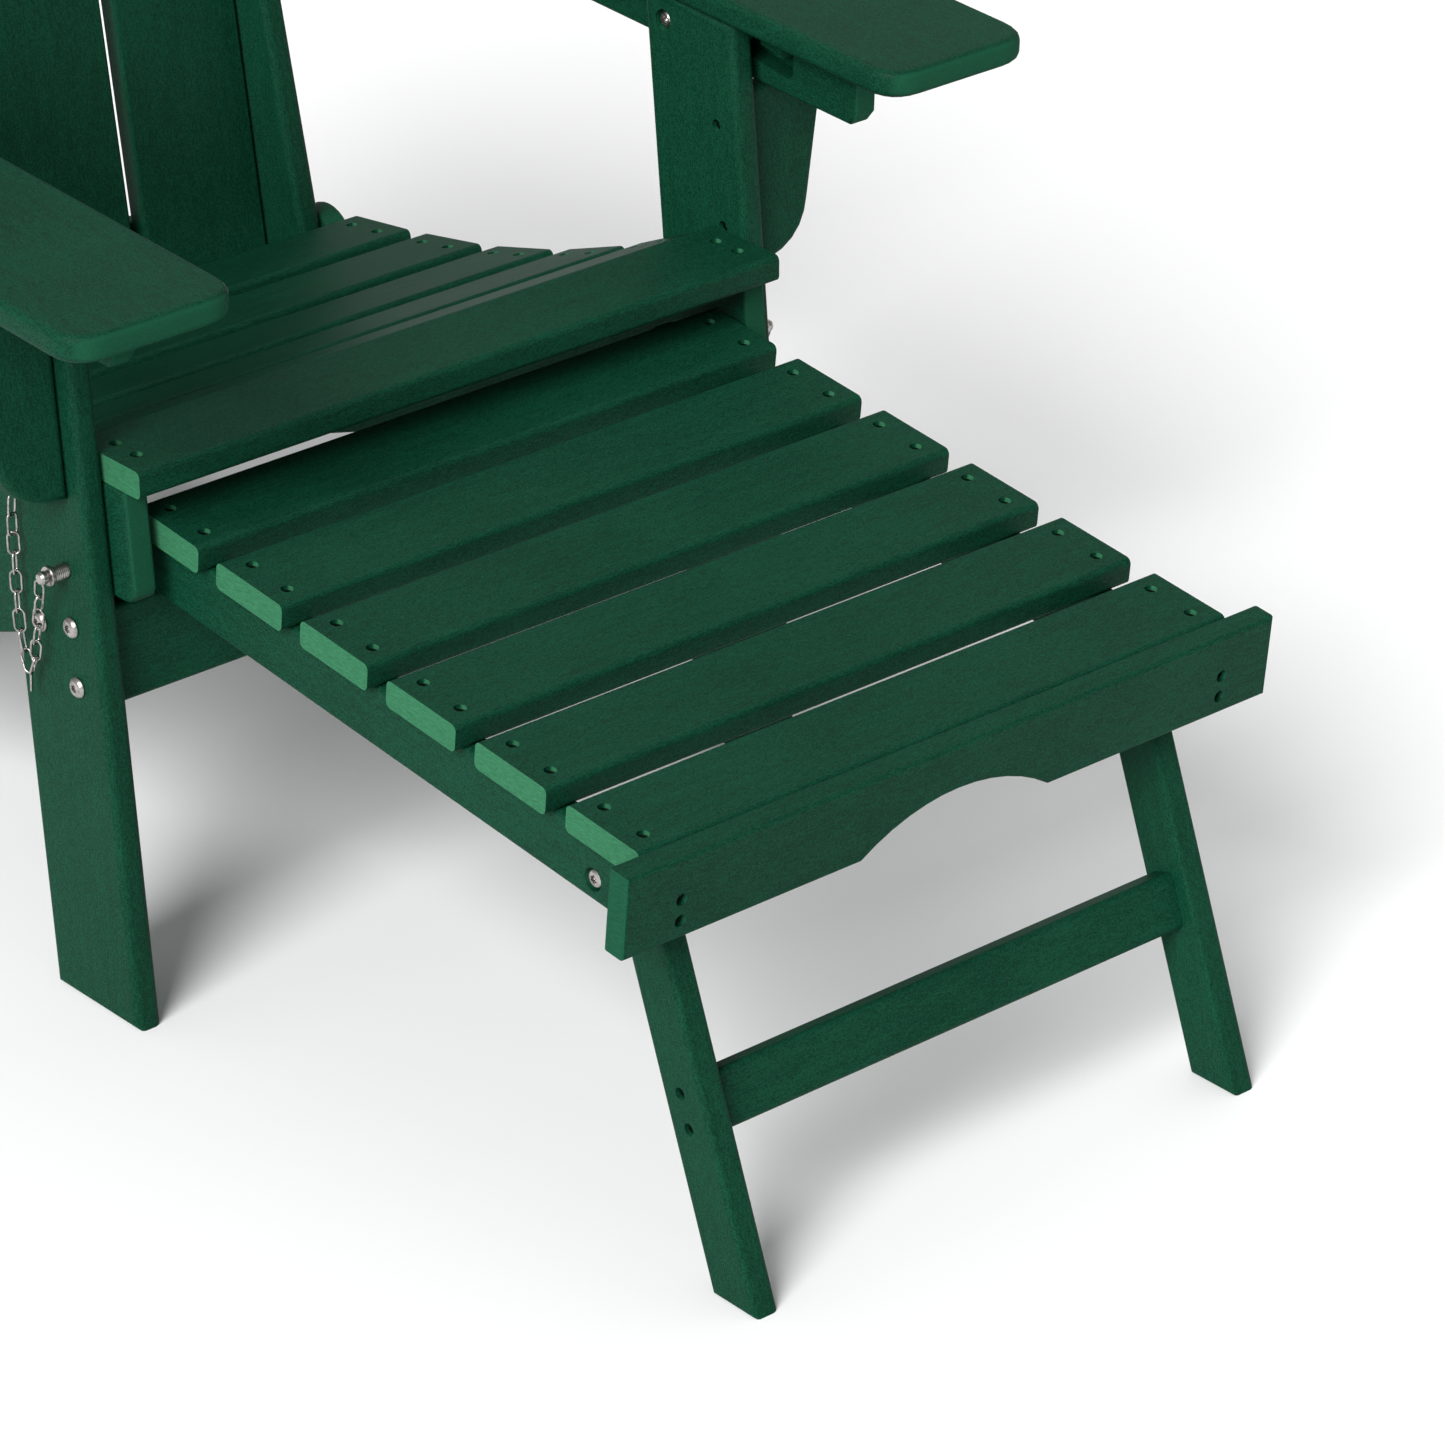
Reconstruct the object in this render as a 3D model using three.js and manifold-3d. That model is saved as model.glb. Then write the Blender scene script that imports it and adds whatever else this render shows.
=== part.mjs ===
// Reclining adirondack chair in recycled-plastic boards, with a pull-out footrest.
// Millimetres, +Z up, +X to the right of somebody facing +Y. The sitter faces -Y.
// While the chair is laid out, Y is counted rearwards from the toe of the front legs. At the end
// the whole chair is moved so that its origin is on the floor, under the middle of its outline.
import * as THREE from 'three';
import { mergeVertices } from 'three/addons/utils/BufferGeometryUtils.js';
import Module from 'manifold-3d';

const wasm = await Module();
wasm.setup();

// ---------------------------------------------------------------- driving dimensions
const BOARD = 19;                 // thickness of every board
const EDGE = 5.5;                 // rounding of the routed edges
const SLAT_EDGE = 4.5;            // rounding of the slats' long edges
const FIT = 0.3;                  // air between two boards that rest on each other
const SLAT_WIDTH = 67.5;          // the standard narrow board: slats and crossbars

const LEG_INNER_X = 268.5;        // inner face of the front legs
const LEG_WIDTH = 91;
const LEG_RAKE = 5.4;             // degrees that the front legs lean back
const STRINGER_NOSE = 18.5;       // how far the seat stringers stand out ahead of the legs
const STRINGER_NOSE_BOTTOM = 298.8;
const STRINGER_UNDERSIDE = { y: 155, z: 227.5, slope: 0.38 };
const REAR_FOOT = { y: 795, z: 42 };
const REAR_CROSSBAR = { y: 640, z: 62 };

const SEAT_FRONT_Z = 396.2;       // top of the front seat slat
const FRONT_SLAT_WIDTH = 72;
const SEAT_DROP = { y: 15.2, z: -10 };           // from the front slat to the contoured slats
const SEAT_TILTS = [25, 20, 15.5, 10.5, 8];      // degrees, front to rear
const SEAT_SLAT_GAP = 16;
const SEAT_SLAT_OVERHANG = 1.3;   // air between a slat's end and the leg beside it

const BACK_HINGE = { behindSeat: 29.235, z: 250.5 };
const BACK_HINGE_EAR = 28;        // radius of the stringer's ear around the hinge
const BACK_RECLINE = 13;          // degrees of the side stiles from upright
const STILE_FRONT = -20.8;        // front edge of a stile, behind the hinge's axis when positive
const STILE_REAR = 69;             // rear edge at the hinge's level: it runs parallel to the slats
const STILE_TOP = 545;
const STILE_FOOT = 25;            // radius of a stile's foot around the hinge
const STILE_GAP = 1.5;            // air between a stile and the stringer beside it
const SLAT_PLANE = { y: 23, lean: 4 };           // front of the back slats, in the stiles' frame
const BACK_SLATS = 4;
const BACK_SLAT_GAP = 11.4;
const BACK_SLAT_EDGE = 3;
const BACK_SLAT_BOTTOM = -25;
const BACK_CROWN = 656.6;           // highest point of the back, along the slats
const BACK_CROWN_RADIUS = 319;
const BACK_RAILS = { lower: -22.5, middle: 265, upper: 468 };

const ARM_TOP = { y: -57, z: 560.5 };            // a point on top of the arm, near its front
const ARM_SLOPE = 2.4;            // degrees that the arms rise to the rear
const ARM_INSET = 4.5;            // arms' inner edges, in from the legs' inner faces
const ARM_WIDTH = 127.5;
const ARM_FRONT_Y = -112;
const ARM_TAIL = 78;              // arm behind its pivot
const ARM_REAR_WIDTH = 92;
const ARM_CORNER = 27;
const ARM_RAIL_GAP = 7.7;         // air between a front leg and the rail under the arm
const ARM_RAIL_HEIGHT = 48;
const ARM_RAIL_FRONT_Y = -44;
const ARM_PIVOT_SETBACK = 71;     // the arm's pivot behind the back's hinge
const PIVOT_BLOCK = { front: 60, rear: 42 };

const STUD = { y: 122, z: 530, radius: 4 };      // the stud that the arm's slot slides over
const SLOT = { travel: 97.4, fall: 10.4, half: 6.2, notches: 4, notchHalf: 5.3, notchRise: 6, web: 5 };

const BRACKET = { setback: 12.5, foot: 370, elbow: 408, elbowOut: 52, top: 497, topOut: 73 };

const CROSSBAR_SETBACK = 17.2;    // front crossbar's face behind the legs' front edges
const CROSSBAR_TOP = 288.6;       // up the leg
const PIN_UP_LEG = 319.2;         // height of the quick-release pin, up the leg
const PIN_BACK = 26.5;            // its distance behind the leg's front edge

const FOOT_REAR = { y: 41.4, z: 352.5 };         // rear top edge of the footrest's slats
const FOOT_TILT = 5.8;            // degrees that the footrest falls to the front
const FOOT_SLATS = 6;
const FOOT_SLAT_LENGTH = 485;
const FOOT_PITCH = 86.3;
const FOOT_RAIL_X = 232.5;        // outer face of the footrest's rails
const FOOT_RAIL_HEIGHT = 44.5;
const FOOT_RAIL_TAIL = 30;        // rail behind the rear slat
const APRON = { length: 534, height: 57.5, proud: 0.7, archHalf: 78, archRise: 24.5 };

const FOOT_HINGE = { y: -399.4, z: 258.6 };
const FOOT_LEG_WIDTH = 38;
const FOOT_LEG_LEAN = 20.4;       // degrees that the footrest's legs lean forward
const FOOT_LEG_REAR = 9.4;        // hinge to the leg's rear edge
const FOOT_BAR = { setback: 11, low: 97, height: 38 };

const SHANK = 3.8;                // radius of the bolts
const HEAD = { radius: 7.3, height: 4.2 };
const BORE = 0.4;                 // air around a bolt in its hole
const PIN = { radius: 5.2, reach: 2, out: 11.5, collar: 6.8, collarLength: 3.5, knob: 4.4, knobLength: 7 };
const COUNTERBORE = { radius: 7.8, depth: 4.6 };  // flush heads: footrest hinge and arm pivot
const CHAIN_WIRE = 1.6;

const rad = THREE.MathUtils.degToRad;
const tanRake = Math.tan(rad(LEG_RAKE));
const cosRake = Math.cos(rad(LEG_RAKE));
const tanArm = Math.tan(rad(ARM_SLOPE));
const legOuterX = LEG_INNER_X + BOARD;
const armInnerX = LEG_INNER_X - ARM_INSET;
const stringerX = LEG_INNER_X - FIT - BOARD;      // inner face of a seat stringer
const stileX = stringerX - STILE_GAP - BOARD;     // inner face of a back stile
const armRailX = legOuterX + ARM_RAIL_GAP;

// ---------------------------------------------------------------- materials
const plastic = (name) => new THREE.MeshStandardMaterial(
  { name, color: 0x14503a, roughness: 0.55, metalness: 0 });
const steel = (name) => new THREE.MeshStandardMaterial(
  { name, color: 0xb9bbbd, roughness: 0.3, metalness: 1 });

// ---------------------------------------------------------------- solids
const AXES = {
  // A board's outline is drawn flat, and its thickness runs along the third axis.
  YZ: new THREE.Matrix4().makeBasis(
    new THREE.Vector3(0, 1, 0), new THREE.Vector3(0, 0, 1), new THREE.Vector3(1, 0, 0)),
  XZ: new THREE.Matrix4().makeBasis(
    new THREE.Vector3(1, 0, 0), new THREE.Vector3(0, 0, 1), new THREE.Vector3(0, -1, 0)),
  XY: new THREE.Matrix4(),
};

function toSolid(geometry) {
  const bare = geometry.clone();
  bare.deleteAttribute('normal');
  bare.deleteAttribute('uv');
  const welded = mergeVertices(bare, 1e-4);
  return new wasm.Manifold(new wasm.Mesh({
    numProp: 3,
    vertProperties: new Float32Array(welded.attributes.position.array),
    triVerts: new Uint32Array(welded.index.array),
  }));
}

function toGeometry(solid) {
  const { vertProperties, triVerts } = solid.getMesh();
  const geometry = new THREE.BufferGeometry();
  geometry.setAttribute('position', new THREE.BufferAttribute(new Float32Array(vertProperties), 3));
  geometry.setIndex(new THREE.BufferAttribute(new Uint32Array(triVerts), 1));
  geometry.computeVertexNormals();
  return geometry;
}

function cut(geometry, tools) {
  return toGeometry(tools.reduce((solid, tool) => solid.subtract(toSolid(tool)), toSolid(geometry)));
}

// A routed board: every edge of the outline is rounded on both faces.
function routedBoard(outline, plane, thickness = BOARD, round = EDGE) {
  const geometry = new THREE.ExtrudeGeometry(outline, {
    depth: thickness - 2 * round, bevelThickness: round, bevelSize: round, bevelOffset: -round,
    bevelSegments: 3, curveSegments: 6,
  });
  geometry.translate(0, 0, round);
  return geometry.applyMatrix4(AXES[plane]);
}

// A bar of an extruded section: its two ends are sawn square.
function sawnBar(section, plane, length) {
  const geometry = new THREE.ExtrudeGeometry(section, { depth: length, bevelEnabled: false, curveSegments: 3 });
  return geometry.applyMatrix4(AXES[plane]);
}

function roundedRectangle(left, bottom, right, top, radius = SLAT_EDGE) {
  const shape = new THREE.Shape();
  shape.absarc(right - radius, bottom + radius, radius, -Math.PI / 2, 0);
  shape.absarc(right - radius, top - radius, radius, 0, Math.PI / 2);
  shape.absarc(left + radius, top - radius, radius, Math.PI / 2, Math.PI);
  shape.absarc(left + radius, bottom + radius, radius, Math.PI, Math.PI * 1.5);
  return shape;
}

const polygon = (points) => new THREE.Shape(points.map(([u, v]) => new THREE.Vector2(u, v)));

// A board along X, with rounded long edges: its middle is at x = 0, its rear top edge at y = z = 0.
function slatGeometry(length, width) {
  const geometry = sawnBar(roundedRectangle(-width, -BOARD, 0, 0), 'YZ', length);
  return geometry.translate(-length / 2, 0, 0);
}

// A round rod along X from x = from to x = to.
function rod(radius, from, to, y, z, sides = 16) {
  const geometry = new THREE.CylinderGeometry(radius, radius, to - from, sides);
  geometry.rotateZ(-Math.PI / 2);
  return geometry.translate((from + to) / 2, y, z);
}

// A turned piece along +X: the profile is a list of [x, radius], starting and ending on the axis.
function turned(profile, sides = 14) {
  const geometry = new THREE.LatheGeometry(profile.map(([x, r]) => new THREE.Vector2(r, x)), sides);
  return geometry.rotateZ(-Math.PI / 2);
}

// A domed bolt whose head bears on x = 0 and whose shank runs back to x = -length.
function boltProfile(length, nut = 0) {
  const end = nut > 0
    ? [[-length, 0], [-length, HEAD.radius * 0.75], [nut - length, HEAD.radius * 0.75], [nut - length, SHANK]]
    : [[-length, 0], [-length, SHANK]];
  return [...end, [0, SHANK], [0, HEAD.radius], [HEAD.height * 0.4, HEAD.radius],
    [HEAD.height * 0.85, HEAD.radius * 0.62], [HEAD.height, 0]];
}

function piece(name, geometry, material, parent, place = {}) {
  const node = new THREE.Mesh(geometry, material(name));
  node.name = name;
  node.position.set(place.x ?? 0, place.y ?? 0, place.z ?? 0);
  node.rotation.x = place.turn ?? 0;
  parent.add(node);
  return node;
}

function frame(parent, place, turn = 0) {
  const group = new THREE.Group();
  group.position.set(place.x ?? 0, place.y, place.z);
  group.rotation.x = turn;
  parent.add(group);
  return group;
}

const SIDES = [['left', -1], ['right', 1]];
// The low x of a board whose inner face is at |x| = inner, on the given side.
const lowX = (side, inner, thickness = BOARD) => (side > 0 ? inner : -inner - thickness);
// A turned piece points outwards on both sides.
const outward = (geometry, side) => (side > 0 ? geometry : geometry.clone().rotateY(Math.PI));

const chair = new THREE.Group();

// ---------------------------------------------------------------- levels shared by several boards
const armUnderside = (y) => ARM_TOP.z - BOARD / Math.cos(rad(ARM_SLOPE)) + tanArm * (y - ARM_TOP.y);
const legFront = (z) => tanRake * z;
// A place given up and behind a front leg's front edge, in chair coordinates.
const onLeg = (back, up) => ({ y: back * cosRake + up * Math.sin(rad(LEG_RAKE)),
  z: up * cosRake - back * Math.sin(rad(LEG_RAKE)) });
// The same place, in the leg's own raked frame.
const toLeg = ({ y, z }) => ({ back: y * cosRake - z * Math.sin(rad(LEG_RAKE)),
  up: y * Math.sin(rad(LEG_RAKE)) + z * cosRake });

const crossbarMiddle = CROSSBAR_SETBACK + BOARD / 2;
const crossbarBolts = [CROSSBAR_TOP - 9, CROSSBAR_TOP - SLAT_WIDTH + 17].map((up) => onLeg(crossbarMiddle, up));
const stringerBolt = onLeg(62, 274.6);
const pinHole = onLeg(PIN_BACK, PIN_UP_LEG);

// ---------------------------------------------------------------- seat slats and the seat's line
const slatAlong = (tilt) => ({ y: Math.cos(rad(tilt)), z: -Math.sin(rad(tilt)) });
const slatUp = (tilt) => ({ y: Math.sin(rad(tilt)), z: Math.cos(rad(tilt)) });

const seatSlats = [{ y: 0.3, z: SEAT_FRONT_Z, tilt: 0, width: FRONT_SLAT_WIDTH }];
for (const tilt of SEAT_TILTS) {
  const last = seatSlats[seatSlats.length - 1];
  const along = slatAlong(last.tilt);
  const between = slatAlong((last.tilt + tilt) / 2);
  const drop = last.tilt === 0
    ? SEAT_DROP
    : { y: between.y * SEAT_SLAT_GAP, z: between.z * SEAT_SLAT_GAP };
  seatSlats.push({
    y: last.y + along.y * last.width + drop.y, z: last.z + along.z * last.width + drop.z,
    tilt, width: SLAT_WIDTH,
  });
}
const seatSlatLength = 2 * (LEG_INNER_X - SEAT_SLAT_OVERHANG);
seatSlats.forEach((slat, index) => {
  const along = slatAlong(slat.tilt);
  piece(`seat_slat_${index + 1}`, slatGeometry(seatSlatLength, slat.width), plastic, chair,
    { y: slat.y + along.y * slat.width, z: slat.z + along.z * slat.width, turn: -rad(slat.tilt) });
});

// The stringers' top edge follows the undersides of the slats.
const seatLine = seatSlats.flatMap((slat) => {
  const along = slatAlong(slat.tilt);
  const up = slatUp(slat.tilt);
  const front = [slat.y - up.y * (BOARD + FIT), slat.z - up.z * (BOARD + FIT)];
  return [front, [front[0] + along.y * slat.width, front[1] + along.z * slat.width]];
});
const lastSlat = seatSlats[seatSlats.length - 1];
const seatRearY = lastSlat.y + slatAlong(lastSlat.tilt).y * lastSlat.width;
const backHinge = { y: seatRearY + BACK_HINGE.behindSeat, z: BACK_HINGE.z };
const armPivotY = backHinge.y + ARM_PIVOT_SETBACK;
const armPivot = { y: armPivotY, z: armUnderside(armPivotY) - ARM_RAIL_HEIGHT / 2 };

// ---------------------------------------------------------------- front legs
function legOutline() {
  const across = LEG_WIDTH / cosRake;
  const top = (y) => armUnderside(y) - 1.5;
  const zFront = top(0) / (1 - tanArm * tanRake);
  const zRear = top(across) / (1 - tanArm * tanRake);
  return polygon([[0, 0], [across, 0], [across + legFront(zRear), zRear], [legFront(zFront), zFront]]);
}

function holesThrough(places, radius, from, to) {
  return places.map(({ y, z }) => rod(radius, from, to, y, z));
}

const legHoles = holesThrough([...crossbarBolts, stringerBolt], SHANK + BORE, -5, BOARD + 5);
legHoles.push(rod(PIN.radius + BORE, -5, BOARD + 5, pinHole.y, pinHole.z));
legHoles.push(rod(STUD.radius + BORE, -5, BOARD + 5, STUD.y, STUD.z));

function legGeometry(side) {
  const counterbore = side > 0 ? [-5, 6] : [BOARD - 6, BOARD + 5];
  const pocket = rod(HEAD.radius + BORE, ...counterbore, STUD.y, STUD.z);
  return cut(routedBoard(legOutline(), 'YZ'), [...legHoles, pocket]);
}

// ---------------------------------------------------------------- seat stringers and rear legs
const stringerBottom = (y) => STRINGER_UNDERSIDE.z - STRINGER_UNDERSIDE.slope * (y - STRINGER_UNDERSIDE.y);
const crossbarRearY = onLeg(CROSSBAR_SETBACK + BOARD, CROSSBAR_TOP).y;

function stringerOutline() {
  const noseTop = seatLine[0][1];
  const nose = (z) => legFront(z) - STRINGER_NOSE / cosRake;
  const riseY = seatRearY + 3;
  const riseZ = backHinge.z + Math.sqrt(BACK_HINGE_EAR ** 2 - (backHinge.y - riseY) ** 2);
  const stepY = crossbarRearY + 6;
  const floorY = STRINGER_UNDERSIDE.y + STRINGER_UNDERSIDE.z / STRINGER_UNDERSIDE.slope;
  const [underRearY, underRearZ] = seatLine[seatLine.length - 1];
  const shape = new THREE.Shape();
  shape.moveTo(nose(STRINGER_NOSE_BOTTOM + 12), STRINGER_NOSE_BOTTOM + 12);
  shape.quadraticCurveTo(nose(STRINGER_NOSE_BOTTOM), STRINGER_NOSE_BOTTOM,
    nose(STRINGER_NOSE_BOTTOM) + 14, STRINGER_NOSE_BOTTOM);
  shape.lineTo(stepY, STRINGER_NOSE_BOTTOM);
  shape.lineTo(stepY, stringerBottom(stepY));
  shape.lineTo(floorY, 0);
  shape.lineTo(REAR_FOOT.y, 0);
  shape.lineTo(REAR_FOOT.y, REAR_FOOT.z);
  const rearAngle = rad(22);
  const frontAngle = Math.atan2(riseZ - backHinge.z, riseY - backHinge.y);
  shape.absarc(backHinge.y, backHinge.z, BACK_HINGE_EAR, rearAngle, frontAngle);
  shape.lineTo(riseY, underRearZ - Math.tan(rad(lastSlat.tilt)) * (riseY - underRearY));
  for (const [y, z] of seatLine.slice(1).reverse()) shape.lineTo(y, z);
  shape.lineTo(nose(noseTop), noseTop);
  return shape;
}

const stringerHoles = [
  rod(SHANK + BORE, -5, BOARD + 5, stringerBolt.y, stringerBolt.z),
  rod(PIN.radius + BORE, -5, BOARD + 5, pinHole.y, pinHole.z),
  rod(SHANK + BORE, -5, BOARD + 5, backHinge.y, backHinge.z),
];
const stringerGeometry = cut(routedBoard(stringerOutline(), 'YZ', BOARD, 3), stringerHoles);

// ---------------------------------------------------------------- crossbars of the chair
const crossbarFrame = frame(chair, { y: 0, z: 0 }, -rad(LEG_RAKE));
const crossbarLength = 2 * (LEG_INNER_X - FIT);
const crossbarHoles = SIDES.flatMap(([, side]) => crossbarBolts.map((bolt) => {
  const { up } = toLeg(bolt);
  const reach = [LEG_INNER_X - 50, LEG_INNER_X + 5].map((x) => x * side).sort((a, b) => a - b);
  return rod(SHANK + BORE, ...reach, crossbarMiddle, up);
}));
const crossbarBlank = slatGeometry(crossbarLength, SLAT_WIDTH).rotateX(Math.PI / 2)
  .translate(0, CROSSBAR_SETBACK, CROSSBAR_TOP);
piece('front_crossbar', cut(crossbarBlank, crossbarHoles), plastic, crossbarFrame);
piece('rear_crossbar', slatGeometry(2 * (stringerX - FIT), SLAT_WIDTH), plastic, chair,
  { y: REAR_CROSSBAR.y + SLAT_WIDTH / 2, z: REAR_CROSSBAR.z, turn: -rad(20.8) });

// ---------------------------------------------------------------- brackets beside the arms' rails
function bracketOutline(side) {
  const shape = new THREE.Shape();
  const x = (out) => side * out;
  shape.moveTo(x(0), BRACKET.foot);
  shape.bezierCurveTo(x(BRACKET.elbowOut * 0.6), BRACKET.foot, x(BRACKET.elbowOut - 4), BRACKET.foot + 15,
    x(BRACKET.elbowOut), BRACKET.elbow);
  shape.lineTo(x(BRACKET.topOut), BRACKET.top);
  shape.lineTo(x(0), BRACKET.top);
  return shape;
}

const bracketFrame = frame(chair, { y: 0, z: 0 }, -rad(LEG_RAKE));

// ---------------------------------------------------------------- left and right of the base
for (const [name, side] of SIDES) {
  const facing = (geometry) => outward(geometry, side);
  piece(`${name}_front_leg`, legGeometry(side), plastic, chair, { x: lowX(side, LEG_INNER_X) });
  piece(`${name}_seat_stringer`, stringerGeometry, plastic, chair, { x: lowX(side, stringerX) });
  piece(`${name}_arm_bracket`, routedBoard(bracketOutline(side), 'XZ'), plastic, bracketFrame,
    { x: side * (legOuterX + FIT), y: BRACKET.setback + BOARD });

  const legBolts = [...crossbarBolts.map((at) => [at, BOARD + 45, 0]), [stringerBolt, 2 * BOARD + 8, 6]];
  legBolts.forEach(([at, length, nut], index) => piece(`${name}_leg_bolt_${index + 1}`,
    facing(turned(boltProfile(length, nut))), steel, chair, { x: side * (legOuterX + FIT), y: at.y, z: at.z }));

  const hingeSpan = 2 * BOARD + STILE_GAP + 2 * FIT + 5;
  piece(`${name}_back_hinge_bolt`, facing(turned(boltProfile(hingeSpan, 5 - FIT))), steel, chair,
    { x: side * (stringerX + BOARD + FIT), y: backHinge.y, z: backHinge.z });

  // The stud's head sits in a pocket inside the leg. A collar nut fills the gap to the arm's rail,
  // and the stud ends inside the rail's blind slot.
  const pocket = -BOARD + 6 - FIT;
  const collar = [FIT, ARM_RAIL_GAP - FIT];
  const tail = ARM_RAIL_GAP + BOARD - SLOT.web - 1.5;
  piece(`${name}_arm_stud`, facing(turned([
    [pocket - HEAD.height, 0], [pocket - HEAD.height, HEAD.radius * 0.7], [pocket, HEAD.radius],
    [pocket, STUD.radius], [collar[0], STUD.radius], [collar[0], HEAD.radius], [collar[1], HEAD.radius],
    [collar[1], STUD.radius], [tail - 1, STUD.radius], [tail, STUD.radius - 1], [tail, 0],
  ])), steel, chair, { x: side * legOuterX, y: STUD.y, z: STUD.z });

  // The quick-release pin goes through the leg and the stringer, and ends beside the footrest's rail.
  const tip = -2 * BOARD - FIT - PIN.reach;
  const knob = PIN.out + PIN.collarLength;
  piece(`${name}_pin`, facing(turned([
    [tip, 0], [tip, PIN.radius * 0.6], [tip + 3, PIN.radius], [PIN.out, PIN.radius],
    [PIN.out, PIN.collar], [knob, PIN.collar], [knob, PIN.knob], [knob + PIN.knobLength - 2, PIN.knob],
    [knob + PIN.knobLength, 0],
  ])), steel, chair, { x: side * legOuterX, y: pinHole.y, z: pinHole.z });

  // The chain hangs from a screw eye in the leg, in a slack loop up to the pin's head.
  const chainPath = new THREE.CatmullRomCurve3([
    [7, 101, 366], [8.5, 101.5, 340], [8.5, 101, 310], [8.5, 100.5, 280], [8.5, 98, 256], [9, 93, 237],
    [10, 86, 228], [11, 80, 240], [12, 75.5, 262], [14, 69, 285], [17, 62, 303],
  ].map(([out, y, z]) => new THREE.Vector3(side * (legOuterX + out), y, z)));
  const link = new THREE.Shape().absarc(0, 0, CHAIN_WIRE, 0, Math.PI * 2);
  piece(`${name}_chain`, new THREE.ExtrudeGeometry(link,
    { steps: 30, extrudePath: chainPath, curveSegments: 4, bevelEnabled: false }), steel, chair);
}

// ---------------------------------------------------------------- back
const back = frame(chair, backHinge, -rad(BACK_RECLINE));
const cosBack = Math.cos(rad(BACK_RECLINE));
const sinBack = Math.sin(rad(BACK_RECLINE));
const pivotInBack = {
  y: (armPivot.y - backHinge.y) * cosBack - (armPivot.z - backHinge.z) * sinBack,
  z: (armPivot.y - backHinge.y) * sinBack + (armPivot.z - backHinge.z) * cosBack,
};

function stileOutline() {
  const shape = new THREE.Shape();
  const crown = 18;
  const rearEdge = (z) => STILE_REAR - z * Math.tan(rad(SLAT_PLANE.lean));
  const lowFront = Math.sqrt(STILE_FOOT ** 2 - STILE_FRONT ** 2);
  shape.moveTo(rearEdge(45), 45);
  shape.lineTo(rearEdge(STILE_TOP - crown), STILE_TOP - crown);
  shape.absarc(rearEdge(STILE_TOP - crown) - crown, STILE_TOP - crown, crown, 0, Math.PI / 2);
  shape.absarc(STILE_FRONT + crown, STILE_TOP - crown, crown, Math.PI / 2, Math.PI);
  shape.lineTo(STILE_FRONT, lowFront);
  shape.absarc(0, 0, STILE_FOOT, Math.atan2(lowFront, STILE_FRONT), Math.PI * 1.8);
  return shape;
}

// The arm's pivot bolt lies flush in a pocket of the stile's inner face, clear of the slats.
function stileGeometry(side) {
  const pocket = side > 0 ? [-5, COUNTERBORE.depth] : [BOARD - COUNTERBORE.depth, BOARD + 5];
  return cut(routedBoard(stileOutline(), 'YZ'), [
    rod(SHANK + BORE, -5, BOARD + 5, 0, 0),
    rod(SHANK + BORE, -5, BOARD + 5, pivotInBack.y, pivotInBack.z),
    rod(COUNTERBORE.radius, ...pocket, pivotInBack.y, pivotInBack.z),
  ]);
}

const slatPlane = frame(back, { y: SLAT_PLANE.y, z: 0 }, rad(SLAT_PLANE.lean));
const backInside = 2 * (stileX - STILE_GAP);
const backSlatWidth = (backInside - BACK_SLAT_GAP * (BACK_SLATS - 1)) / BACK_SLATS;

function backSlatOutline(centre) {
  const shape = new THREE.Shape();
  const [low, high] = [centre - backSlatWidth / 2, centre + backSlatWidth / 2];
  const crownAngle = (x) => Math.acos(x / BACK_CROWN_RADIUS);
  shape.moveTo(low, BACK_SLAT_BOTTOM);
  shape.lineTo(high, BACK_SLAT_BOTTOM);
  shape.absarc(0, BACK_CROWN - BACK_CROWN_RADIUS, BACK_CROWN_RADIUS, crownAngle(high), crownAngle(low));
  return shape;
}

for (let index = 0; index < BACK_SLATS; index += 1) {
  const centre = (index - (BACK_SLATS - 1) / 2) * (backSlatWidth + BACK_SLAT_GAP);
  const slat = routedBoard(backSlatOutline(centre), 'XZ', BOARD, BACK_SLAT_EDGE);
  piece(`back_slat_${index + 1}`, slat, plastic, slatPlane, { y: BOARD });
}
for (const [name, height] of Object.entries(BACK_RAILS)) {
  const rail = slatGeometry(backInside, SLAT_WIDTH).rotateX(Math.PI / 2);
  piece(`back_${name}_rail`, rail, plastic, slatPlane, { y: BOARD + FIT, z: height + SLAT_WIDTH });
}
for (const [name, side] of SIDES) {
  piece(`${name}_back_stile`, stileGeometry(side), plastic, back, { x: lowX(side, stileX) });
}

// ---------------------------------------------------------------- arms
// The stud's path in the arm's frame: it lies at the rear of the slot while the back is upright.
const cosArm = Math.cos(rad(ARM_SLOPE));
const sinArm = Math.sin(rad(ARM_SLOPE));
const slotRear = {
  y: (STUD.y - armPivot.y) * cosArm + (STUD.z - armPivot.z) * sinArm,
  z: (STUD.z - armPivot.z) * cosArm - (STUD.y - armPivot.y) * sinArm,
};
const slotAt = (share) => ({ y: slotRear.y - SLOT.travel * share, z: slotRear.z - SLOT.fall * share });

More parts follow.
